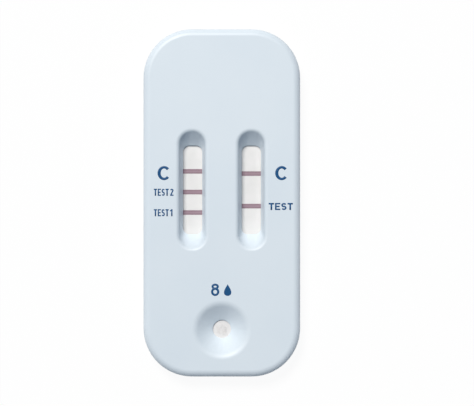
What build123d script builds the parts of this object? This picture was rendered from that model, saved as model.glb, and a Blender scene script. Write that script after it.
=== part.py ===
from build123d import *

import math
import os

# A lateral flow test cassette. Two test strips lie side by side in one press-together
# case. One sample well feeds both strips through a shared pad, and each strip shows
# its membrane and its dyed reagent lines in a window of its own.
#
# Sizes are in millimetres. X runs across the case, Y runs along it from the sample
# well towards the result windows, and Z is up. The origin is the centre of the
# underside, so the cassette lies on the plane Z = 0.

# Case
case_length = 70.0
case_width = 31.6
case_height = 5.6
end_straight = 12.0
seam_height = 2.7
side_wall = 1.2
deck_skin = 1.1
floor_skin = 1.0
deck_edge_round = 1.4
base_edge_bevel = 0.6
seam_bevel = 0.1
wall_draft = 1.0

# Tongue of the bottom case that stands up inside the cover's wall
tongue_height = 0.7
tongue_thickness = 0.55
tongue_clearance = 0.06

# Test strips, which stop a little short of the end walls. Each stands inwards of the
# middle of its half of the case by its inset.
strip_end_room = 3.8
strip_width = 4.8
strip_inset = 1.95
strip_side_gap = 0.1
strip_end_gap = 0.15
card_thickness = 0.3
membrane_thickness = 0.22
conjugate_length = 8.0
conjugate_thickness = 0.35
sample_pad_thickness = 0.5
absorbent_thickness = 0.9
pad_overlap = 2.0
pad_window_gap = 0.6
pad_ramp = 0.5
pad_ramp_gap = 0.3

# Pad under the well that bridges the two strips
shared_pad_overhang = 0.25
shared_pad_length = 9.0
shared_pad_thickness = 0.6

# Reagent lines, placed along the strip from the middle of its window
line_width = 1.0
line_depth = 0.06
left_lines = {
    "control_line": 3.75,
    "upper_test_line": -0.45,
    "lower_test_line": -4.6,
}
right_lines = {
    "control_line": 3.3,
    "test_line": -3.3,
}

# Result windows and the dished recess around each
window_centre_y = 2.65
window_length = 18.0
window_width = 3.9
window_corner = 1.3
window_land = 0.25
window_gap = 0.13
recess_side_run = 0.7
recess_end_run = 2.95
recess_fullness = 0.49
recess_lip_round = 0.8
recess_skin = 0.9
recess_skin_flare = 45.0

# Sample well
well_strip_inset = 4.5
well_rim_radius = 5.3
well_rim_round = 2.0
well_hole_radius = 1.83
well_hole_bevel = 0.12
well_land = 0.3
well_skin = 1.2
well_pad_gap = 0.05

# Seats inside the bottom case
rest_height = 0.5
rest_width = 1.0
rest_count = 5
rest_end_inset = 3.0
guide_thickness = 0.7
guide_length = 5.0
guide_height_over_card = 0.25
end_stop_thickness = 0.8
pad_bar_width = 0.8
pad_bar_length = 7.0
pad_bar_spacing = 2.6
pad_stop_thickness = 0.8
pad_stop_length = 3.0
pad_stop_gap = 0.1
pad_stop_rise = 0.5

# Six-sided pins of the cover, measured over their corners, which bite in the round
# bores of the bottom case's sockets. The wall of a socket is measured on its flats.
pin_radius = 0.8
pin_clearance = 0.02
pin_tip_length = 0.3
pin_tip_taper = 30.0
pin_tip_gap = 0.2
socket_wall = 0.65
socket_over_seam = 0.5
socket_wall_gap = 0.5

# Bars under the deck that hold the pads down on the strips
press_bar_width = 0.8
press_bar_gap = 0.05

# Mark of the moulding gate in the underside
gate_y = 9.0
gate_dimple_radius = 1.5
gate_dimple_depth = 0.2
gate_nub_radius = 0.5
gate_nub_height = 0.1

# Places worked out from the sizes above
corner_radius = (case_width - end_straight) / 2
inner_width = case_width - 2 * side_wall
inner_length = case_length - 2 * side_wall
inner_corner = corner_radius - side_wall
deck_inset = (case_height - seam_height) * math.tan(math.radians(wall_draft))
deck_width = case_width - 2 * deck_inset
deck_length = case_length - 2 * deck_inset
ceiling_z = case_height - deck_skin
strip_x = case_width / 4 - strip_inset
strip_pitch = 2 * strip_x
strip_length = inner_length - 2 * strip_end_room
strip_low_y = -strip_length / 2
strip_high_y = strip_length / 2
card_z = floor_skin + rest_height
card_top_z = card_z + card_thickness
membrane_top_z = card_top_z + membrane_thickness
conjugate_top_z = card_top_z + conjugate_thickness
shared_pad_z = card_top_z + sample_pad_thickness
shared_pad_top_z = shared_pad_z + shared_pad_thickness
window_frame_reach = window_length / 2 + recess_skin + pad_window_gap
conjugate_high_y = window_centre_y - window_frame_reach
conjugate_low_y = conjugate_high_y - conjugate_length
membrane_low_y = conjugate_high_y - pad_overlap
sample_pad_high_y = conjugate_low_y + pad_overlap
absorbent_low_y = window_centre_y + window_frame_reach
membrane_high_y = absorbent_low_y + pad_overlap
shared_pad_width = strip_pitch + strip_width + 2 * shared_pad_overhang
window_rim_z = membrane_top_z + window_gap
window_land_top_z = window_rim_z + window_land
deck_half_width = window_width / 2 + recess_side_run
deck_half_length = window_length / 2 + recess_end_run
deck_corner = recess_fullness * 2 * deck_half_width
well_centre_y = strip_low_y + well_strip_inset
well_rim_z = shared_pad_top_z + well_pad_gap
well_land_top_z = well_rim_z + well_land
well_ring_radius = well_hole_radius + well_skin
funnel_slope = (well_rim_radius - well_hole_radius) / (case_height - well_land_top_z)
rest_pitch = (strip_length - 2 * rest_end_inset) / (rest_count - 1)
guide_top_z = card_top_z + guide_height_over_card
guide_reach = strip_width / 2 + strip_side_gap + guide_thickness
socket_radius = pin_radius + pin_clearance + socket_wall
socket_top_z = seam_height + socket_over_seam
pin_tip_z = floor_skin + pin_tip_gap
window_places = [Location((side * strip_x, window_centre_y)) for side in (-1, 1)]

# Bars under the deck, by their place along the strip, with the height of the pad under each
press_bars = {
    (conjugate_low_y + sample_pad_high_y) / 2: conjugate_top_z + sample_pad_thickness,
    (absorbent_low_y + membrane_high_y) / 2: membrane_top_z + absorbent_thickness,
    (membrane_high_y + strip_high_y) / 2: card_top_z + absorbent_thickness,
}

# Pins stand in the four corners, and in the middle of each side between the strip's
# guides and the wall
corner_pin_reach = (inner_corner - socket_radius - socket_wall_gap) / 2**0.5
corner_pin_x = case_width / 2 - corner_radius + corner_pin_reach
corner_pin_y = case_length / 2 - corner_radius + corner_pin_reach
side_pin_x = (strip_x + guide_reach + inner_width / 2) / 2
pin_places = [
    *GridLocations(2 * corner_pin_x, 2 * corner_pin_y, 2, 2),
    *GridLocations(2 * side_pin_x, 0, 2, 1),
]


def window_outline(grown=0.0):
    # Outline of a window, grown outwards by a skin.
    RectangleRounded(window_width + 2 * grown, window_length + 2 * grown, window_corner + grown)


def make_wedge(across, foot_reach, deck_reach, room):
    # A block with two sloping sides, from the foot of the recess up to the deck.
    with BuildPart() as wedge:
        with BuildSketch(across):
            with BuildLine():
                Polyline(
                    (-foot_reach, window_land_top_z),
                    (foot_reach, window_land_top_z),
                    (deck_reach, case_height),
                    (-deck_reach, case_height),
                    close=True,
                )
            make_face()
        extrude(amount=room, both=True)
    return wedge.part


def make_recess_tool():
    # The dished space over one window, from the deck down, and the window itself. Its
    # long sides are flat, and its ends go from nearly full rounds down to the window's.
    with BuildPart() as rounded_end:
        for level_z, half_width, half_length, corner in (
            (window_land_top_z, window_width / 2, window_length / 2, window_corner),
            (case_height, deck_half_width, deck_half_length, deck_corner),
        ):
            with BuildSketch(Plane.XY.offset(level_z)):
                RectangleRounded(2 * half_width, 2 * half_length, corner)
                with Locations((0, -corner)):
                    Rectangle(3 * half_width, 2 * half_length, mode=Mode.SUBTRACT)
        loft(ruled=True)
    with BuildPart() as recess:
        add(make_wedge(Plane.XZ, window_width / 2, deck_half_width, deck_half_length))
        foot_straight = window_length / 2 - window_corner
        deck_straight = deck_half_length - deck_corner
        add(make_wedge(Plane.YZ, foot_straight, deck_straight, deck_half_width), mode=Mode.INTERSECT)
        add(rounded_end.part)
        add(rounded_end.part.mirror(Plane.XZ))
        with BuildSketch(Plane.XY.offset(window_rim_z)):
            window_outline()
        extrude(amount=window_land)
    return recess.part


def turn_about_well(*points):
    # Turns a half section, given as (radius, height) points, about the well's axis.
    with BuildPart() as turning:
        with BuildSketch(Plane.XZ.offset(-well_centre_y)):
            with BuildLine():
                Polyline(*points, close=True)
            make_face()
        revolve(axis=Axis((0, well_centre_y, 0), (0, 0, 1)))
    return turning.part


def lapped_outline(plain_y, edge_y, lap_y, rise, thickness):
    # Side view of a pad that lies on the card from its plain end, climbs just short of
    # its neighbour's edge and ends on top of the neighbour.
    toward_lap = 1 if lap_y > plain_y else -1
    crest_y = edge_y - toward_lap * pad_ramp_gap
    foot_y = crest_y - toward_lap * pad_ramp
    underside = [
        (plain_y, card_top_z),
        (foot_y, card_top_z),
        (crest_y, card_top_z + rise),
        (lap_y, card_top_z + rise),
    ]
    return underside + [(y, z + thickness) for y, z in reversed(underside)]


def finish(piece, label):
    piece.label = label
    export_step(piece, f"parts/{label}.step")


os.makedirs("parts", exist_ok=True)
recess_tool = make_recess_tool()
well_shell = turn_about_well(
    (0, well_rim_z),
    (well_ring_radius, well_rim_z),
    (well_ring_radius, well_land_top_z),
    (well_ring_radius + (ceiling_z - well_land_top_z) * funnel_slope, ceiling_z),
    (0, ceiling_z),
)
well_tool = turn_about_well(
    (well_hole_radius + well_hole_bevel, well_land_top_z),
    (well_hole_radius, well_land_top_z - well_hole_bevel),
    (well_hole_radius, well_rim_z),
    (0, well_rim_z),
    (0, case_height),
    (well_rim_radius, case_height),
)

with BuildPart() as top_cover:
    # Outer block with its drafted walls, rounded deck edge and seam bevel
    with BuildSketch(Plane.XY.offset(case_height)):
        RectangleRounded(deck_width, deck_length, corner_radius - deck_inset)
    extrude(amount=case_height - seam_height, dir=(0, 0, -1), taper=-wall_draft)
    fillet(faces().sort_by(Axis.Z)[-1].edges(), deck_edge_round)
    chamfer(faces().sort_by(Axis.Z)[0].edges(), seam_bevel)
    # Hollow under the deck and the step that takes the bottom case's tongue
    with BuildSketch(Plane.XY.offset(seam_height)):
        RectangleRounded(inner_width, inner_length, inner_corner)
    extrude(amount=ceiling_z - seam_height, mode=Mode.SUBTRACT)
    step_out = tongue_thickness + tongue_clearance
    with BuildSketch(Plane.XY.offset(seam_height)):
        RectangleRounded(inner_width + 2 * step_out, inner_length + 2 * step_out, inner_corner + step_out)
    extrude(amount=tongue_height + tongue_clearance, mode=Mode.SUBTRACT)
    # Skin around the funnel of the well, and around the two recesses, where it flares
    # upwards from a straight frame at each window
    add(well_shell)
    with BuildSketch(Plane.XY.offset(window_rim_z)):
        with Locations(*window_places):
            window_outline(recess_skin)
    extrude(amount=window_land)
    with BuildSketch(Plane.XY.offset(window_land_top_z)):
        with Locations(*window_places):
            window_outline(recess_skin)
    extrude(amount=ceiling_z - window_land_top_z, taper=-recess_skin_flare)
    # Bars across each strip, over its two laps and over the far half of its absorbent pad
    for bar_y, pad_top_z in press_bars.items():
        foot_z = pad_top_z + press_bar_gap
        with BuildSketch(Plane.XY.offset(foot_z)):
            with GridLocations(strip_pitch, 0, 2, 1):
                with Locations((0, bar_y)):
                    Rectangle(strip_width, press_bar_width)
        extrude(amount=ceiling_z - foot_z)
    # Pins with tapered tips
    with BuildSketch(Plane.XY.offset(pin_tip_z + pin_tip_length)):
        with Locations(*pin_places):
            RegularPolygon(pin_radius, side_count=6)
    extrude(amount=ceiling_z - pin_tip_z - pin_tip_length)
    with BuildSketch(Plane.XY.offset(pin_tip_z + pin_tip_length)):
        with Locations(*pin_places):
            RegularPolygon(pin_radius, side_count=6)
    extrude(amount=pin_tip_length, dir=(0, 0, -1), taper=pin_tip_taper)
    # Windows and the recesses around them, which leave the deck with a soft lip
    for place in window_places:
        with Locations(place):
            add(recess_tool, mode=Mode.SUBTRACT)
        fillet(edges(Select.LAST).filter_by_position(Axis.Z, case_height, case_height), recess_lip_round)
    # Funnel and hole of the well, with a broad round where it leaves the deck
    add(well_tool, mode=Mode.SUBTRACT)
    fillet(edges(Select.LAST).sort_by(Axis.Z)[-1], well_rim_round)
finish(top_cover.part, "top_cover")

with BuildPart() as bottom_case:
    # Outer block with its drafted walls, bevelled foot and seam bevel
    with BuildSketch(Plane.XY.offset(seam_height)):
        RectangleRounded(case_width, case_length, corner_radius)
    extrude(amount=seam_height, dir=(0, 0, -1), taper=wall_draft)
    chamfer(faces().sort_by(Axis.Z)[0].edges(), base_edge_bevel)
    chamfer(faces().sort_by(Axis.Z)[-1].edges(), seam_bevel)
    # Tongue, then the hollow through it
    with BuildSketch(Plane.XY.offset(seam_height)):
        RectangleRounded(
            inner_width + 2 * tongue_thickness,
            inner_length + 2 * tongue_thickness,
            inner_corner + tongue_thickness,
        )
    extrude(amount=tongue_height)
    with BuildSketch(Plane.XY.offset(floor_skin)):
        RectangleRounded(inner_width, inner_length, inner_corner)
    extrude(amount=seam_height + tongue_height - floor_skin, mode=Mode.SUBTRACT)
    # Cross rests under each strip
    with BuildSketch(Plane.XY.offset(floor_skin)):
        with GridLocations(strip_pitch, rest_pitch, 2, rest_count):
            Rectangle(strip_width, rest_width)
    extrude(amount=rest_height)
    # Guides along both sides of each strip and stops at both of its ends
    guide_spacing = 2 * guide_reach - guide_thickness
    end_stop_spacing = strip_length + 2 * strip_end_gap + end_stop_thickness
    with BuildSketch(Plane.XY.offset(floor_skin)):
        with GridLocations(strip_pitch, rest_pitch, 2, rest_count):
            with GridLocations(guide_spacing, 0, 2, 1):
                Rectangle(guide_thickness, guide_length)
        with GridLocations(strip_pitch, end_stop_spacing, 2, 2):
            Rectangle(strip_width, end_stop_thickness)
    extrude(amount=guide_top_z - floor_skin)
    # Bars under the middle of the shared pad
    with BuildSketch(Plane.XY.offset(floor_skin)):
        with Locations((0, well_centre_y)):
            with GridLocations(pad_bar_spacing, 0, 2, 1):
                Rectangle(pad_bar_width, pad_bar_length)
    extrude(amount=shared_pad_z - floor_skin)
    # Stops around the shared pad
    stop_reach_x = shared_pad_width / 2 + pad_stop_gap + pad_stop_thickness / 2
    stop_reach_y = shared_pad_length / 2 + pad_stop_gap + pad_stop_thickness / 2
    with BuildSketch(Plane.XY.offset(floor_skin)):
        with Locations((0, well_centre_y)):
            with GridLocations(2 * stop_reach_x, 0, 2, 1):
                Rectangle(pad_stop_thickness, pad_stop_length)
            with GridLocations(0, 2 * stop_reach_y, 1, 2):
                Rectangle(pad_stop_length, pad_stop_thickness)
    extrude(amount=shared_pad_z + pad_stop_rise - floor_skin)
    # Sockets for the cover's pins
    with BuildSketch(Plane.XY.offset(floor_skin)):
        with Locations(*pin_places):
            RegularPolygon(socket_radius, side_count=6, major_radius=False)
    extrude(amount=socket_top_z - floor_skin)
    with BuildSketch(Plane.XY.offset(floor_skin)):
        with Locations(*pin_places):
            Circle(pin_radius + pin_clearance)
    extrude(amount=socket_top_z - floor_skin, mode=Mode.SUBTRACT)
    # Mark of the gate
    with BuildSketch():
        with Locations((0, gate_y)):
            Circle(gate_dimple_radius)
    extrude(amount=gate_dimple_depth, mode=Mode.SUBTRACT)
    with BuildSketch(Plane.XY.offset(gate_dimple_depth - gate_nub_height)):
        with Locations((0, gate_y)):
            Circle(gate_nub_radius)
    extrude(amount=gate_nub_height)
finish(bottom_case.part, "bottom_case")

with BuildPart() as shared_sample_pad:
    with BuildSketch(Plane.XY.offset(shared_pad_z)):
        with Locations((0, well_centre_y)):
            Rectangle(shared_pad_width, shared_pad_length)
    extrude(amount=shared_pad_thickness)
finish(shared_sample_pad.part, "shared_sample_pad")

for side, centre_x, lines in (("left", -strip_x, left_lines), ("right", strip_x, right_lines)):
    with BuildPart() as backing_card:
        with BuildSketch(Plane.XY.offset(card_z)):
            with Locations((centre_x, 0)):
                Rectangle(strip_width, strip_length)
        extrude(amount=card_thickness)
    finish(backing_card.part, f"{side}_backing_card")

    with BuildPart() as membrane:
        with BuildSketch(Plane.XY.offset(card_top_z)):
            with Locations((centre_x, (membrane_low_y + membrane_high_y) / 2)):
                Rectangle(strip_width, membrane_high_y - membrane_low_y)
        extrude(amount=membrane_thickness)
        # Shallow grooves filled flush by the dyed lines
        with BuildSketch(Plane.XY.offset(membrane_top_z - line_depth)):
            with Locations(*[(centre_x, window_centre_y + line_y) for line_y in lines.values()]):
                Rectangle(strip_width, line_width)
        extrude(amount=line_depth, mode=Mode.SUBTRACT)
    finish(membrane.part, f"{side}_membrane")

    for line_name, line_y in lines.items():
        with BuildPart() as reagent_line:
            with BuildSketch(Plane.XY.offset(membrane_top_z - line_depth)):
                with Locations((centre_x, window_centre_y + line_y)):
                    Rectangle(strip_width, line_width)
            extrude(amount=line_depth)
        finish(reagent_line.part, f"{side}_{line_name}")

    # The three pads: plain end, neighbour's edge, lapped end, neighbour's thickness, own
    pads = {
        "conjugate_pad": (
            conjugate_low_y, membrane_low_y, conjugate_high_y, membrane_thickness, conjugate_thickness
        ),
        "sample_pad": (
            strip_low_y, conjugate_low_y, sample_pad_high_y, conjugate_thickness, sample_pad_thickness
        ),
        "absorbent_pad": (
            strip_high_y, membrane_high_y, absorbent_low_y, membrane_thickness, absorbent_thickness
        ),
    }
    for pad_name, pad_sizes in pads.items():
        with BuildPart() as pad:
            with BuildSketch(Plane.YZ.offset(centre_x)):
                with BuildLine():
                    Polyline(*lapped_outline(*pad_sizes), close=True)
                make_face()
            extrude(amount=strip_width / 2, both=True)
        finish(pad.part, f"{side}_{pad_name}")
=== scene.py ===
import bpy
import numpy as np
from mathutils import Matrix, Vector


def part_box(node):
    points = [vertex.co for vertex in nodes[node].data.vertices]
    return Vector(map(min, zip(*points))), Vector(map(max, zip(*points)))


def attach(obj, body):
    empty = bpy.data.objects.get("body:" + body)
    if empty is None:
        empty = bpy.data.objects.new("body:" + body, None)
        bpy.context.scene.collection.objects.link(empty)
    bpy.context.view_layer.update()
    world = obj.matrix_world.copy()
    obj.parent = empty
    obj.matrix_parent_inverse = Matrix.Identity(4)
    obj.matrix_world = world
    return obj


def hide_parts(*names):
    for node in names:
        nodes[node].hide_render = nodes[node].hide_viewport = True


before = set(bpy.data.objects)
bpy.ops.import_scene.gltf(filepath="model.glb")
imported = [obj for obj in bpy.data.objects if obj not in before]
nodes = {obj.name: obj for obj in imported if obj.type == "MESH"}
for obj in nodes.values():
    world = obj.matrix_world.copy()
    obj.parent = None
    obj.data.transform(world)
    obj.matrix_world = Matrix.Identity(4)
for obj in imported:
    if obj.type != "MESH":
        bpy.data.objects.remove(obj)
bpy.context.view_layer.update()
mm = 0.001
rng = np.random.default_rng(11)


def nodeBox(name):
    low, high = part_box(name)
    return np.array(low), np.array(high)


coverLow, coverHigh = nodeBox("top_cover")
deckZ = coverHigh[2]
print("frame loaded, box", [round(float(v) / mm, 2) for v in coverHigh - coverLow], "mm")


# Camera, straight above the deck

photo = {
    "pixelsWide": 474, "pixelsHigh": 406,
    "caseCentre": (221.75, 202.9),   # where the middle of the case lies in the frame
    "pixel": 0.20055 * mm,           # one pixel on the deck
    "distance": 300 * mm,
}
cameraData = bpy.data.cameras.new("photoCamera")
camera = bpy.data.objects.new("photoCamera", cameraData)
bpy.context.scene.collection.objects.link(camera)
bpy.context.scene.camera = camera
cameraData.lens = cameraData.sensor_width * photo["distance"] / (photo["pixelsWide"] * photo["pixel"])
cameraData.clip_start, cameraData.clip_end = 0.01, 10
camera.location = (
    (photo["pixelsWide"] / 2 - photo["caseCentre"][0]) * photo["pixel"],
    (photo["caseCentre"][1] - photo["pixelsHigh"] / 2) * photo["pixel"],
    deckZ + photo["distance"],
)
bpy.context.scene.view_settings.view_transform = "Standard"


# Node helpers

def newMaterial(name):
    # a material with its tree and its Principled shader
    material = bpy.data.materials.new(name)
    material.use_nodes = True
    tree = material.node_tree
    return material, tree, tree.nodes["Principled BSDF"]


def addNode(tree, kind, settings=None, **inputs):
    # a node with its settings; each input is a value, or a socket to link; _3 is the input at place 3
    node = tree.nodes.new(kind)
    for key, value in (settings or {}).items():
        setattr(node, key, value)
    for key, value in inputs.items():
        socket = node.inputs[int(key[1:])] if key[0] == "_" else node.inputs[key.replace("_", " ")]
        if isinstance(value, bpy.types.NodeSocket):
            tree.links.new(value, socket)
        else:
            socket.default_value = value
    return node


def linear(colour):
    # 8-bit screen colour to the shader's linear one
    return tuple(((v / 255 + 0.055) / 1.055) ** 2.4 for v in colour) + (1,)


def noiseOf(tree, size, detail=2.0, roughness=0.5, stretch=(1, 1, 1), turn=0.0):
    # noise in object coordinates, with its grain size in metres
    place = addNode(tree, "ShaderNodeTexCoord").outputs["Object"]
    if stretch != (1, 1, 1) or turn:
        mapping = addNode(tree, "ShaderNodeMapping", Vector=place, Rotation=(0, 0, turn), Scale=stretch)
        place = mapping.outputs["Vector"]
    noise = addNode(tree, "ShaderNodeTexNoise", Vector=place, Scale=1 / size, Detail=detail,
                    Roughness=roughness)
    return noise.outputs["Fac"]


def rampOf(tree, factor, stops):
    # colours along a factor, from a list of (place, 8-bit colour)
    ramp = addNode(tree, "ShaderNodeValToRGB", Fac=factor)
    elements = ramp.color_ramp.elements
    while len(elements) < len(stops):
        elements.new(0.5)
    for element, (place, colour) in zip(elements, stops):
        element.position = place
        element.color = linear(colour)
    return ramp.outputs["Color"]


def combined(tree, operation, first, second):
    return addNode(tree, "ShaderNodeMath", {"operation": operation}, _0=first, _1=second).outputs[0]


def roughen(tree, shader, height, distance):
    bump = addNode(tree, "ShaderNodeBump", Strength=1.0, Distance=distance, Height=height)
    tree.links.new(bump.outputs["Normal"], shader.inputs["Normal"])


# Moulded and card plastics

casePlastic = {
    "colours": [(0.3, (219, 230, 239)), (0.7, (223, 233, 241))],   # faint clouds in the moulding
    "cloud": 16 * mm,
    "roughness": (0.40, 0.47),
    "grain": 0.14 * mm,            # fine eroded texture of the mould
    "grainHeight": 0.003 * mm,
    "sink": 6 * mm,                # slow unevenness of a thin moulded wall
    "sinkHeight": 0.004 * mm,
}
backingPlastic = {
    "colours": [(0.3, (236, 236, 233)), (0.7, (241, 241, 239))],
    "cloud": 9 * mm,
    "roughness": (0.30, 0.42),
    "grain": 0.3 * mm,
    "grainHeight": 0.002 * mm,
    "sink": 8 * mm,
    "sinkHeight": 0.004 * mm,
}


def makePlastic(name, look):
    material, tree, shader = newMaterial(name)
    cloud = noiseOf(tree, look["cloud"], 3.0)
    tree.links.new(rampOf(tree, cloud, look["colours"]), shader.inputs["Base Color"])
    low, high = look["roughness"]
    sheen = addNode(tree, "ShaderNodeMapRange", Value=cloud, To_Min=low, To_Max=high)
    tree.links.new(sheen.outputs["Result"], shader.inputs["Roughness"])
    grain = combined(tree, "MULTIPLY", noiseOf(tree, look["grain"], 2.0, 0.6), look["grainHeight"])
    sink = combined(tree, "MULTIPLY", noiseOf(tree, look["sink"], 1.0), look["sinkHeight"])
    roughen(tree, shader, combined(tree, "ADD", grain, sink), 1.0)      # both heights are in metres already
    shader.inputs["IOR"].default_value = 1.5
    return material


def dress(nodeName, material):
    # a CAD node keeps its mesh and takes the material in its slots
    for materialSlot in nodes[nodeName].material_slots:
        materialSlot.material = material


caseMaterial = makePlastic("casePlastic", casePlastic)
backingMaterial = makePlastic("backingPlastic", backingPlastic)
for nodeName in ("top_cover", "bottom_case"):
    dress(nodeName, caseMaterial)
for nodeName in ("left_backing_card", "right_backing_card"):
    dress(nodeName, backingMaterial)
print("case and cards dressed")


# Meshes from grids of points

def gridFaces(rows, columns, loop=False):
    # quads between neighbouring points; every row closes on itself, and the rows too with loop
    index = np.arange(rows * columns).reshape(rows, columns)
    index = np.hstack([index, index[:, :1]])
    if loop:
        index = np.vstack([index, index[:1]])
    return np.stack([index[:-1, :-1], index[:-1, 1:], index[1:, 1:], index[1:, :-1]], -1).reshape(-1, 4)


def slabSection(across, arc):
    # a rectangle with rounded corners, as the shares of four lengths at each of its points:
    # side = straight * (halfWidth - edge) + turned * edge,
    # z = middle + up * (halfHeight - edge) + lift * edge
    angle = np.linspace(0, np.pi / 2, arc + 1)
    run = np.linspace(-1, 1, across + 1)[1:-1]
    straight = np.concatenate([-np.ones(arc + 1), run, np.ones(arc + 1)])
    turned = np.concatenate([-np.cos(angle), 0 * run, np.sin(angle)])
    lift = np.concatenate([-np.sin(angle), 0 * run - 1, -np.cos(angle)])
    back = slice(None, None, -1)
    return (np.concatenate([straight, straight[back]]), np.concatenate([turned, turned[back]]),
            np.concatenate([0 * straight - 1, 0 * straight + 1]), np.concatenate([lift, -lift[back]]))


def sweepSlab(path, halfWidth, low, high, edge, across=12, arc=3, loop=False):
    # a slab laid along a path in plan: slabSection at each of its points, square to the path
    path = np.asarray(path, float)
    count = len(path)
    halfWidth, low, high = (np.broadcast_to(np.asarray(v, float), count) for v in (halfWidth, low, high))
    edge = np.minimum(np.minimum(edge, 0.45 * (high - low)), 0.9 * halfWidth)
    if loop:
        along = np.roll(path, -1, 0) - np.roll(path, 1, 0)
    else:
        along = np.gradient(path, axis=0)
    along = along / np.linalg.norm(along, axis=1, keepdims=True)
    sideways = np.stack([along[:, 1], -along[:, 0]], 1)
    straight, turned, up, lift = (v[None, :] for v in slabSection(across, arc))
    side = straight * (halfWidth - edge)[:, None] + turned * edge[:, None]
    height = ((low + high) / 2)[:, None] + up * ((high - low) / 2 - edge)[:, None] + lift * edge[:, None]
    plan = path[:, None, :] + side[..., None] * sideways[:, None, :]
    points = np.concatenate([plan, height[..., None]], -1)
    ring = points.shape[1]
    faces = gridFaces(count, ring, loop)
    if not loop:
        under = np.arange(ring // 2 - 1)
        over = ring - 1 - under
        first = np.stack([under + 1, under, over, over - 1], -1)
        last = np.stack([under, under + 1, over - 1, over], -1) + (count - 1) * ring
        faces = np.vstack([faces, first, last])
    share = np.broadcast_to(np.linspace(0, 1, count)[:, None], side.shape)
    acrossShare = side / halfWidth[:, None] / 2 + 0.5
    return points, faces, np.stack([share, acrossShare], -1)


def makePiece(name, parts, material):
    # one object from (points, faces, uv) grids; faces turn outwards, by the sign of the closed volume
    points, faces, uvs, start = [], [], [], 0
    for grid, quads, uv in parts:
        flat = grid.reshape(-1, 3)
        a, b, c, d = (flat[quads[:, k]] for k in range(4))
        volume = (np.cross(a, b) * c).sum() + (np.cross(a, c) * d).sum()
        points.append(flat)
        faces.append((quads if volume > 0 else quads[:, ::-1]) + start)
        uvs.append(uv.reshape(-1, 2))
        start += len(flat)
    points, faces, uvs = np.vstack(points), np.vstack(faces), np.vstack(uvs)
    data = bpy.data.meshes.new(name)
    data.from_pydata(points.tolist(), [], faces.tolist())
    data.uv_layers.new(name="along").data.foreach_set("uv", uvs[faces.ravel()].ravel().astype(np.float32))
    data.polygons.foreach_set("use_smooth", np.ones(len(faces), bool))
    data.materials.append(material)
    data.update()
    piece = bpy.data.objects.new(name, data)
    bpy.context.scene.collection.objects.link(piece)
    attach(piece, "root")
    return piece


def waves(x, y, wavelength, count=7):
    # slow unevenness from 0 to 1: a sum of sines of random direction and phase
    total = np.zeros(np.broadcast(x, y).shape)
    for _ in range(count):
        angle, phase, stretch = rng.uniform(0, 2 * np.pi), rng.uniform(0, 2 * np.pi), rng.uniform(0.6, 1.6)
        total += np.sin(2 * np.pi * stretch * (x * np.cos(angle) + y * np.sin(angle)) / wavelength + phase)
    return 0.5 + 0.5 * np.tanh(total / np.sqrt(count))


def easedStep(value, start, end):
    share = np.clip((value - start) / (end - start), 0, 1)
    return share * share * (3 - 2 * share)


# Membranes and their dyed lines

membraneLook = {
    "colours": [(0.3, (225, 224, 222)), (0.7, (230, 228, 227))],
    "cloud": 2.4 * mm,
    "pore": 0.05 * mm,
    "poreHeight": 0.0025 * mm,
    "roughness": 0.85,
}
lineLook = {
    # from an edge of the line inwards: white, a dark rim where the dye dried, a paler middle
    "rim": [(0.0, (224, 222, 222)), (0.05, (176, 155, 164)), (0.12, (136, 111, 122)),
            (0.27, (148, 125, 135))],
    "middle": (159, 135, 145),
    "wander": 0.5 * mm,      # how long the small swings of its edges are
    "swing": 0.05,           # how far they go, as a share of the line's width
    "inset": 0.004 * mm,     # room round the line in its groove
    "edge": 0.004 * mm,      # small round along its edges
}
stripShape = {
    "cutEdge": 0.02 * mm,       # small round along the cut edges and ends
    "grooveWall": 0.002 * mm,   # the groove's wall leans by this
    "guard": 0.02 * mm,         # rows this near to a groove keep its edge crisp
}


def makeMembraneMaterial():
    material, tree, shader = newMaterial("membrane")
    tree.links.new(rampOf(tree, noiseOf(tree, membraneLook["cloud"], 3.0), membraneLook["colours"]),
                   shader.inputs["Base Color"])
    roughen(tree, shader, noiseOf(tree, membraneLook["pore"], 2.0, 0.7), membraneLook["poreHeight"])
    shader.inputs["Roughness"].default_value = membraneLook["roughness"]
    return material


def makeDyedMaterial():
    material, tree, shader = newMaterial("dyedLine")
    place = addNode(tree, "ShaderNodeSeparateXYZ", Vector=addNode(tree, "ShaderNodeUVMap").outputs["UV"])
    around = combined(tree, "SUBTRACT", noiseOf(tree, lineLook["wander"], 3.0), 0.5)
    swing = combined(tree, "MULTIPLY", around, lineLook["swing"])
    farRim = [(1 - share, colour) for share, colour in reversed(lineLook["rim"])]
    colours = lineLook["rim"] + [(0.5, lineLook["middle"])] + farRim
    tree.links.new(rampOf(tree, combined(tree, "ADD", place.outputs["Y"], swing), colours),
                   shader.inputs["Base Color"])
    roughen(tree, shader, noiseOf(tree, membraneLook["pore"], 2.0, 0.7), membraneLook["poreHeight"])
    shader.inputs["Roughness"].default_value = membraneLook["roughness"]
    return material


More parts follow.
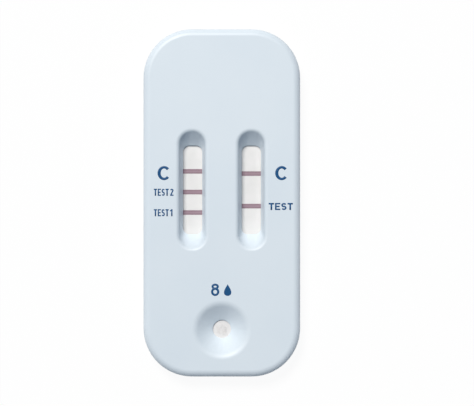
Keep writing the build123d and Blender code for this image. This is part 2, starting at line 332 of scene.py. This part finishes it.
strips = {
    "left": ["left_control_line", "left_upper_test_line", "left_lower_test_line"],
    "right": ["right_control_line", "right_test_line"],
}
membraneMaterial, dyedMaterial = makeMembraneMaterial(), makeDyedMaterial()
for side, lineNames in strips.items():
    low, high = nodeBox(side + "_membrane")
    middle, half = (low[0] + high[0]) / 2, (high[0] - low[0]) / 2
    lineBoxes = [nodeBox(name) for name in lineNames]
    wall, guard, cutEdge = stripShape["grooveWall"], stripShape["guard"], stripShape["cutEdge"]
    plainRows = np.linspace(low[1], high[1], 61)
    endRows = [low[1] + cutEdge, high[1] - cutEdge]
    grooveRows = [[a[1] - guard, a[1] - wall, a[1], b[1], b[1] + wall, b[1] + guard] for a, b in lineBoxes]
    along = np.unique(np.concatenate([plainRows, endRows] + grooveRows))
    top = np.full(len(along), high[2])
    for lineLow, lineHigh in lineBoxes:
        top[(along >= lineLow[1]) & (along <= lineHigh[1])] = lineLow[2]
    fromEnd = np.minimum(along - low[1], high[1] - along)
    pulled = cutEdge * np.clip(1 - fromEnd / cutEdge, 0, 1)
    grid, quads, uv = sweepSlab(np.stack([0 * along + middle, along], 1), half - pulled, low[2] + pulled,
                                top - pulled, cutEdge, across=10, arc=2)
    piece = makePiece(side + "MembraneStrip", [(grid, quads, uv)], membraneMaterial)
    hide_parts(side + "_membrane")
    for lineName, (lineLow, lineHigh) in zip(lineNames, lineBoxes):
        across = np.linspace(lineLow[0], lineHigh[0], 25)
        grid, quads, uv = sweepSlab(
            np.stack([across, 0 * across + (lineLow[1] + lineHigh[1]) / 2], 1),
            (lineHigh[1] - lineLow[1]) / 2 - lineLook["inset"], lineLow[2] + lineLook["inset"], lineHigh[2],
            lineLook["edge"], across=8, arc=1)
        words = lineName.split("_")
        pieceName = words[0] + "".join(word.capitalize() for word in words[1:]) + "Dye"
        piece = makePiece(pieceName, [(grid, quads, uv)], dyedMaterial)
        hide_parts(lineName)
print("membranes and lines made")


# Fibre pads

padLooks = {
    "pad_fibre": {"colours": [(0.3, (223, 221, 219)), (0.5, (230, 228, 227)), (0.75, (235, 233, 233))],
                  "fibre": 0.035 * mm, "fibreHeight": 0.02 * mm, "cloud": 1.3 * mm, "roughness": 0.95},
    "conjugate_fibre": {"colours": [(0.3, (186, 116, 132)), (0.5, (199, 134, 147)), (0.75, (214, 160, 170))],
                        "fibre": 0.03 * mm, "fibreHeight": 0.015 * mm, "cloud": 1.3 * mm, "roughness": 0.9},
}
matShape = {
    "row": 0.35 * mm,                       # length of a row of the grid
    "ragged": 0.03 * mm, "raggedWave": 1.1 * mm,
    "sag": 0.04 * mm, "sagWave": 2.7 * mm,
    "climb": (-0.85 * mm, -0.25 * mm),      # where a lap climbs, measured from its neighbour's edge
    "endLift": 0.4, "endDrop": 0.8,         # how far a rounded end closes in from below and from above
}


def makeFibreMaterial(name, look):
    # three noises, each drawn out along its own direction, lie over each other as matted fibres do
    material, tree, shader = newMaterial(name)
    layers = [noiseOf(tree, look["fibre"], 2.0, 0.6, (1, 0.09, 1), turn) for turn in (0.35, 1.4, 2.6)]
    matted = combined(tree, "MAXIMUM", combined(tree, "MAXIMUM", layers[0], layers[1]), layers[2])
    fibreShare = combined(tree, "MULTIPLY", matted, 0.6)
    cloudShare = combined(tree, "MULTIPLY", noiseOf(tree, look["cloud"], 3.0), 0.4)
    mixed = combined(tree, "ADD", fibreShare, cloudShare)
    tree.links.new(rampOf(tree, mixed, look["colours"]), shader.inputs["Base Color"])
    roughen(tree, shader, matted, look["fibreHeight"])
    shader.inputs["Roughness"].default_value = look["roughness"]
    return material


padMaterials = {name: makeFibreMaterial(name, look) for name, look in padLooks.items()}


def matPiece(name, nodeName, slotName, lap=None, crown=0.03 * mm, edge=0.12 * mm):
    # a cut fibre mat in the node's box: rounded cut edges, a slight crown and slow unevenness on top.
    # lap = (y where the step is, height it steps, +1 if it lies high beyond that y, else -1)
    low, high = nodeBox(nodeName)
    middle, half, length = (low[0] + high[0]) / 2, (high[0] - low[0]) / 2, high[1] - low[1]
    ends = edge * (1 - np.cos(np.linspace(0, np.pi / 2, 5)))
    plainRows = np.linspace(low[1] + edge, high[1] - edge, int(length / matShape["row"]))[1:-1]
    along = np.concatenate([low[1] + ends, plainRows, high[1] - ends[::-1]])
    rise = 0 * along
    total = high[2] - low[2]
    if lap:
        stepY, stepHeight, sign = lap
        rise = stepHeight * easedStep(sign * (along - stepY), *matShape["climb"])
        total -= stepHeight
    fromEnd = np.clip(np.minimum(along - low[1], high[1] - along) / edge, 0, 1)
    pulled = edge * (1 - np.sqrt(1 - (1 - fromEnd) ** 2))
    ragged = matShape["ragged"] * waves(0 * along, along, matShape["raggedWave"])
    underside = low[2] + rise + matShape["endLift"] * pulled
    top = low[2] + rise + total - matShape["endDrop"] * pulled
    grid, quads, uv = sweepSlab(np.stack([0 * along + middle, along], 1), half - pulled - ragged,
                                underside, top, edge, across=22, arc=3)
    upper = grid.shape[1] // 2
    x, y = grid[:, upper:, 0], grid[:, upper:, 1]
    sag = matShape["sag"] * waves(x, y, matShape["sagWave"])
    grid[:, upper:, 2] -= (crown * ((x - middle) / half) ** 4 + sag) * fromEnd[:, None]
    piece = makePiece(name, [(grid, quads, uv)], padMaterials[slotName])
    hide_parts(nodeName)


for side in strips:
    cardTop = nodeBox(side + "_backing_card")[1][2]
    membraneLow, membraneHigh = nodeBox(side + "_membrane")
    conjugateLow, conjugateHigh = nodeBox(side + "_conjugate_pad")
    membraneRise = membraneHigh[2] - cardTop
    conjugateRise = conjugateHigh[2] - membraneHigh[2]
    matPiece(side + "ConjugateMat", side + "_conjugate_pad", "conjugate_fibre",
             (membraneLow[1], membraneRise, 1), edge=0.08 * mm)
    matPiece(side + "SampleMat", side + "_sample_pad", "pad_fibre", (conjugateLow[1], conjugateRise, 1))
    matPiece(side + "AbsorbentMat", side + "_absorbent_pad", "pad_fibre", (membraneHigh[1], membraneRise, -1),
             crown=0.06 * mm, edge=0.2 * mm)
matPiece("sharedSampleMat", "shared_sample_pad", "pad_fibre", crown=0.05 * mm, edge=0.2 * mm)
print("pads made")


# Loose fibres on the mat under the well

looseFibres = {
    "count": 240, "sides": 5, "steps": 9,
    "radius": 0.011 * mm,
    "length": (0.5 * mm, 1.5 * mm),
    "reach": 1.62 * mm,      # how far from the well's axis they lie
    "bend": 1.6,             # spread of the angle that a fibre turns by, in radians
    "sunk": 0.018 * mm,      # depth of their lines below the mat's top, before each one's own lift
    "dip": 0.05 * mm,        # how far their ends go into the mat
}
wellCentre = sum(nodeBox("shared_sample_pad")) / 2


def makeLooseFibres():
    # a tube round each fibre's line: point(s, a) = line(s) + radius * (cos a * side + sin a * up),
    # where the line turns by bend * s as it goes and dips into the mat at both ends
    count, sides, steps = looseFibres["count"], looseFibres["sides"], looseFibres["steps"]
    length = rng.uniform(*looseFibres["length"], count)[:, None]
    heading = rng.uniform(0, 2 * np.pi, count)[:, None]
    bend = rng.normal(0, looseFibres["bend"], count)[:, None]
    ring = rng.uniform(0, 1, count)[:, None] ** 0.5 * (looseFibres["reach"] - length / 2)
    around = rng.uniform(0, 2 * np.pi, count)[:, None]
    s = np.linspace(-0.5, 0.5, steps)[None, :]
    angle = heading + bend * s
    x = wellCentre[0] + ring * np.cos(around) + length * s * np.cos(angle)
    y = wellCentre[1] + ring * np.sin(around) + length * s * np.sin(angle)
    matTop = nodeBox("shared_sample_pad")[1][2]
    lift = rng.uniform(-0.2, 1.0, count)[:, None] * looseFibres["radius"]
    z = matTop - looseFibres["sunk"] + lift - looseFibres["dip"] * (2 * s) ** 4
    turn = np.linspace(0, 2 * np.pi, sides, endpoint=False)
    out, up = looseFibres["radius"] * np.cos(turn), looseFibres["radius"] * np.sin(turn)
    x, y, z, angle = (v[..., None] for v in (x, y, z, angle))
    grid = np.stack([x - np.sin(angle) * out, y + np.cos(angle) * out, z + up], -1)
    firstPoints = np.arange(count)[:, None, None] * steps * sides
    quads = (firstPoints + gridFaces(steps, sides)[None]).reshape(-1, 4)
    uv = np.zeros((count * steps * sides, 2))
    return makePiece("looseWellFibres", [(grid, quads, uv)], padMaterials["pad_fibre"])


makeLooseFibres()
print("loose fibres laid")


# Printed marks, thin ink on the deck

ink = {
    "colours": [(0.3, (4, 70, 116)), (0.7, (10, 80, 131))],
    "cloud": 0.5 * mm, "roughness": 0.45, "gloss": 0.25,
    "grain": 0.06 * mm, "grainHeight": 0.002 * mm,
    "sunk": 0.002 * mm, "thickness": 0.012 * mm, "edge": 0.006 * mm,
    "layer": 0.0006 * mm,      # where strokes cross, each lies this much higher than the last
}


def makeInkMaterial():
    material, tree, shader = newMaterial("printInk")
    cover = noiseOf(tree, ink["cloud"], 4.0, 0.65)
    tree.links.new(rampOf(tree, cover, ink["colours"]), shader.inputs["Base Color"])
    roughen(tree, shader, noiseOf(tree, ink["grain"], 2.0), ink["grainHeight"])
    shader.inputs["Roughness"].default_value = ink["roughness"]
    shader.inputs["Specular IOR Level"].default_value = ink["gloss"]
    return material


inkMaterial = makeInkMaterial()


def stroke(path, width, layer=0, loop=False):
    # a ribbon of ink of that width along the path
    top = deckZ + ink["thickness"] + layer * ink["layer"]
    return sweepSlab(path, np.asarray(width) / 2, deckZ - ink["sunk"], top, ink["edge"],
                     across=2, arc=1, loop=loop)


def ellipseArc(centre, radii, start, end, count):
    # centre + (a cos t, b sin t), with t in degrees from start to end
    turn = np.radians(np.linspace(start, end, count))
    return np.stack([centre[0] + radii[0] * np.cos(turn), centre[1] + radii[1] * np.sin(turn)], 1)


def letterC(centre, size, thick, thin):
    # most of an ellipse, thick at its side and thinner above and below
    half = (np.array(size) - (thick, thin)) / 2
    path = ellipseArc(centre, half, 40, 320, 49)
    upright = np.abs((path[:, 0] - centre[0]) / half[0])
    return [stroke(path, thin + (thick - thin) * upright ** 2)]


def letterT(left, foot, height, width, thick):
    middle, top = left + width / 2, foot + height - thick / 2
    return [stroke([(left, top), (left + width, top)], thick),
            stroke([(middle, foot), (middle, foot + height)], thick * 1.1, 1)]


def figureOne(left, foot, height, width, thick):
    # a stem with a short flag
    stem = left + width - thick * 0.8
    flag = [(left, foot + height * 0.72), (stem - thick * 0.1, foot + height * 0.93)]
    return [stroke([(stem, foot), (stem, foot + height)], thick * 1.1), stroke(flag, thick * 0.8, 1)]


def figureTwo(left, foot, height, width, thick):
    # a hook that runs down into the base line
    radius = (width - thick) / 2
    centre = (left + width / 2, foot + height - thick / 2 - radius)
    hook = ellipseArc(centre, (radius, radius), 170, -40, 25)
    slope = np.linspace(hook[-1], (left + thick * 0.55, foot + thick * 0.7), 9)[1:]
    return [stroke(np.vstack([hook, slope]), thick),
            stroke([(left, foot + thick / 2), (left + width, foot + thick / 2)], thick, 1)]


def figureEight(centre, size, thick):
    # two closed bowls that share the waist
    width, height = size
    upperHigh = height * 0.47
    upperRadii = ((width * 0.90 - thick) / 2, (upperHigh - thick * 0.85) / 2)
    lowerRadii = ((width - thick) / 2, (height - upperHigh - thick * 0.15) / 2)
    reach = height / 2 - thick * 0.45
    bowls = []
    for radii, y in ((upperRadii, reach - upperRadii[1]), (lowerRadii, lowerRadii[1] - reach)):
        bowls.append(ellipseArc((centre[0], centre[1] + y), radii, 0, 360, 41)[:-1])
    return [stroke(bowls[0], thick * 0.95, 0, True), stroke(bowls[1], thick, 1, True)]


def dropShape(centre, size):
    # half width = W * sin t * sin(t / 2) ** 1.4 while y falls from the tip as cos t
    turn = np.linspace(0.06, np.pi - 0.04, 41)
    profile = np.sin(turn) * np.sin(turn / 2) ** 1.4
    half = size[0] / 2 * profile / profile.max()
    y = centre[1] + size[1] / 2 * np.cos(turn)
    return [sweepSlab(np.stack([0 * y + centre[0], y], 1), half, deckZ - ink["sunk"],
                      deckZ + ink["thickness"], ink["edge"], across=8, arc=1)]


def letterE(left, foot, height, width, thick):
    # a stem with three bars
    stem = left + thick / 2
    bars = [stroke([(left, foot + y), (left + width * reach, foot + y)], thick * 0.9, 1)
            for y, reach in ((thick * 0.45, 1), (height / 2, 0.88), (height - thick * 0.45, 1))]
    return [stroke([(stem, foot), (stem, foot + height)], thick)] + bars


def letterS(left, foot, height, width, thick):
    # two bowls that turn opposite ways and meet in the middle
    a, b = (width - thick) / 2, (height - thick) / 4
    middle = left + width / 2
    upper = ellipseArc((middle, foot + height / 2 + b), (a, b), 25, 270, 25)
    lower = ellipseArc((middle, foot + height / 2 - b), (a, b), 90, -155, 25)
    return [stroke(np.vstack([upper, lower[1:]]), thick)]


testWord = (letterT, letterE, letterS, letterT)


def wordMark(left, middle, height, letters, width, gap, thick):
    foot = middle - height / 2
    return [part for place, letter in enumerate(letters)
            for part in letter(left + place * (width + gap), foot, height, width, thick)]


def numberedMark(left, middle, height, figure, figureWidth):
    # the word with a figure after it
    width, gap, thick = height * 0.45, height * 0.10, height * 0.175
    figureLeft = left + len(testWord) * (width + gap) + gap
    return (wordMark(left, middle, height, testWord, width, gap, thick)
            + figure(figureLeft, middle - height / 2, height, figureWidth, thick))


marks = {
    "leftControlMark": letterC((-11.56 * mm, 5.98 * mm), (2.64 * mm, 2.84 * mm), 0.64 * mm, 0.50 * mm),
    "rightControlMark": letterC((12.03 * mm, 5.98 * mm), (2.64 * mm, 2.84 * mm), 0.64 * mm, 0.50 * mm),
    "leftUpperTestMark": numberedMark(-13.62 * mm, 2.13 * mm, 1.42 * mm, figureTwo, 0.68 * mm),
    "leftLowerTestMark": numberedMark(-13.62 * mm, -1.97 * mm, 1.42 * mm, figureOne, 0.54 * mm),
    "rightTestMark": wordMark(9.42 * mm, -0.72 * mm, 1.42 * mm, testWord, 1.06 * mm, 0.20 * mm, 0.31 * mm),
    "dropCountMark": figureEight((-1.32 * mm, -17.42 * mm), (1.66 * mm, 2.46 * mm), 0.44 * mm),
    "dropMark": dropShape((1.18 * mm, -17.47 * mm), (1.46 * mm, 2.36 * mm)),
}
for markName, parts in marks.items():
    makePiece(markName, parts, inkMaterial)
print("marks printed")


# Light: one large soft source from above the top left, a dim cool room, a white floor

studio = {
    "keyFrom": (-0.22, 0.5, 0.86),
    "keyDistance": 2.2,
    "keySize": 0.8,
    "keyPower": 50.4,
    "keyColour": (1.0, 0.96, 0.91),      # a little warm, against the cool light of the room
    "room": 0.11,
    "roomColour": (0.17, 0.55, 1.0),
    "floorReach": 1.5, "floorGlow": 0.94, "floorBounce": 0.75, "floorDiffuse": 0.06,
    "floorDrop": 0.02 * mm,      # keeps the floor from meeting the underside face to face
}
keyData = bpy.data.lights.new("keyLight", "AREA")
keyData.shape = "DISK"
keyData.size = studio["keySize"]
keyData.energy = studio["keyPower"]
keyData.color = studio["keyColour"]
keyLight = bpy.data.objects.new("keyLight", keyData)
bpy.context.scene.collection.objects.link(keyLight)
keyDirection = Vector(studio["keyFrom"]).normalized()
keyLight.location = keyDirection * studio["keyDistance"]
keyLight.rotation_mode = "QUATERNION"
keyLight.rotation_quaternion = keyDirection.to_track_quat("Z", "Y")


def seenDirectly(tree):
    # 1 on camera, glossy and transmission rays, and 0 on the rays that only light things
    path = addNode(tree, "ShaderNodeLightPath")
    either = combined(tree, "MAXIMUM", path.outputs["Is Camera Ray"], path.outputs["Is Glossy Ray"])
    return combined(tree, "MAXIMUM", either, path.outputs["Is Transmission Ray"])


world = bpy.data.worlds.new("paleRoom")
bpy.context.scene.world = world
world.use_nodes = True
worldTree = world.node_tree
background = worldTree.nodes["Background"]
seen = seenDirectly(worldTree)
strength = addNode(worldTree, "ShaderNodeMapRange", Value=seen, To_Min=studio["room"], To_Max=1.0)
worldTree.links.new(strength.outputs["Result"], background.inputs["Strength"])
tone = addNode(worldTree, "ShaderNodeMix", {"data_type": "RGBA"}, _0=seen, _6=studio["roomColour"] + (1,),
               _7=(1, 1, 1, 1))
worldTree.links.new(tone.outputs[2], background.inputs["Color"])


def makeFloor():
    reach, z = studio["floorReach"], -studio["floorDrop"]
    data = bpy.data.meshes.new("paleFloor")
    data.from_pydata([(-reach, -reach, z), (reach, -reach, z), (reach, reach, z), (-reach, reach, z)], [],
                     [(0, 1, 2, 3)])
    material, tree, shader = newMaterial("paleFloor")
    shader.inputs["Base Color"].default_value = (studio["floorDiffuse"],) * 3 + (1,)
    shader.inputs["Roughness"].default_value = 1.0
    shader.inputs["Specular IOR Level"].default_value = 0.0
    shader.inputs["Emission Color"].default_value = (1, 1, 1, 1)
    glow = addNode(tree, "ShaderNodeMapRange", Value=seenDirectly(tree), To_Min=studio["floorBounce"],
                   To_Max=studio["floorGlow"])
    tree.links.new(glow.outputs["Result"], shader.inputs["Emission Strength"])
    # clear from below, so that the underside can be looked at
    behind = addNode(tree, "ShaderNodeNewGeometry").outputs["Backfacing"]
    clear = addNode(tree, "ShaderNodeBsdfTransparent").outputs[0]
    oneSided = addNode(tree, "ShaderNodeMixShader", _0=behind, _1=shader.outputs[0], _2=clear)
    tree.links.new(oneSided.outputs[0], tree.nodes["Material Output"].inputs["Surface"])
    material.cycles.emission_sampling = "NONE"      # so wide a glow is found by the rays themselves
    data.materials.append(material)
    floor = bpy.data.objects.new("paleFloor", data)
    bpy.context.scene.collection.objects.link(floor)
    return floor


makeFloor()
print("studio set")
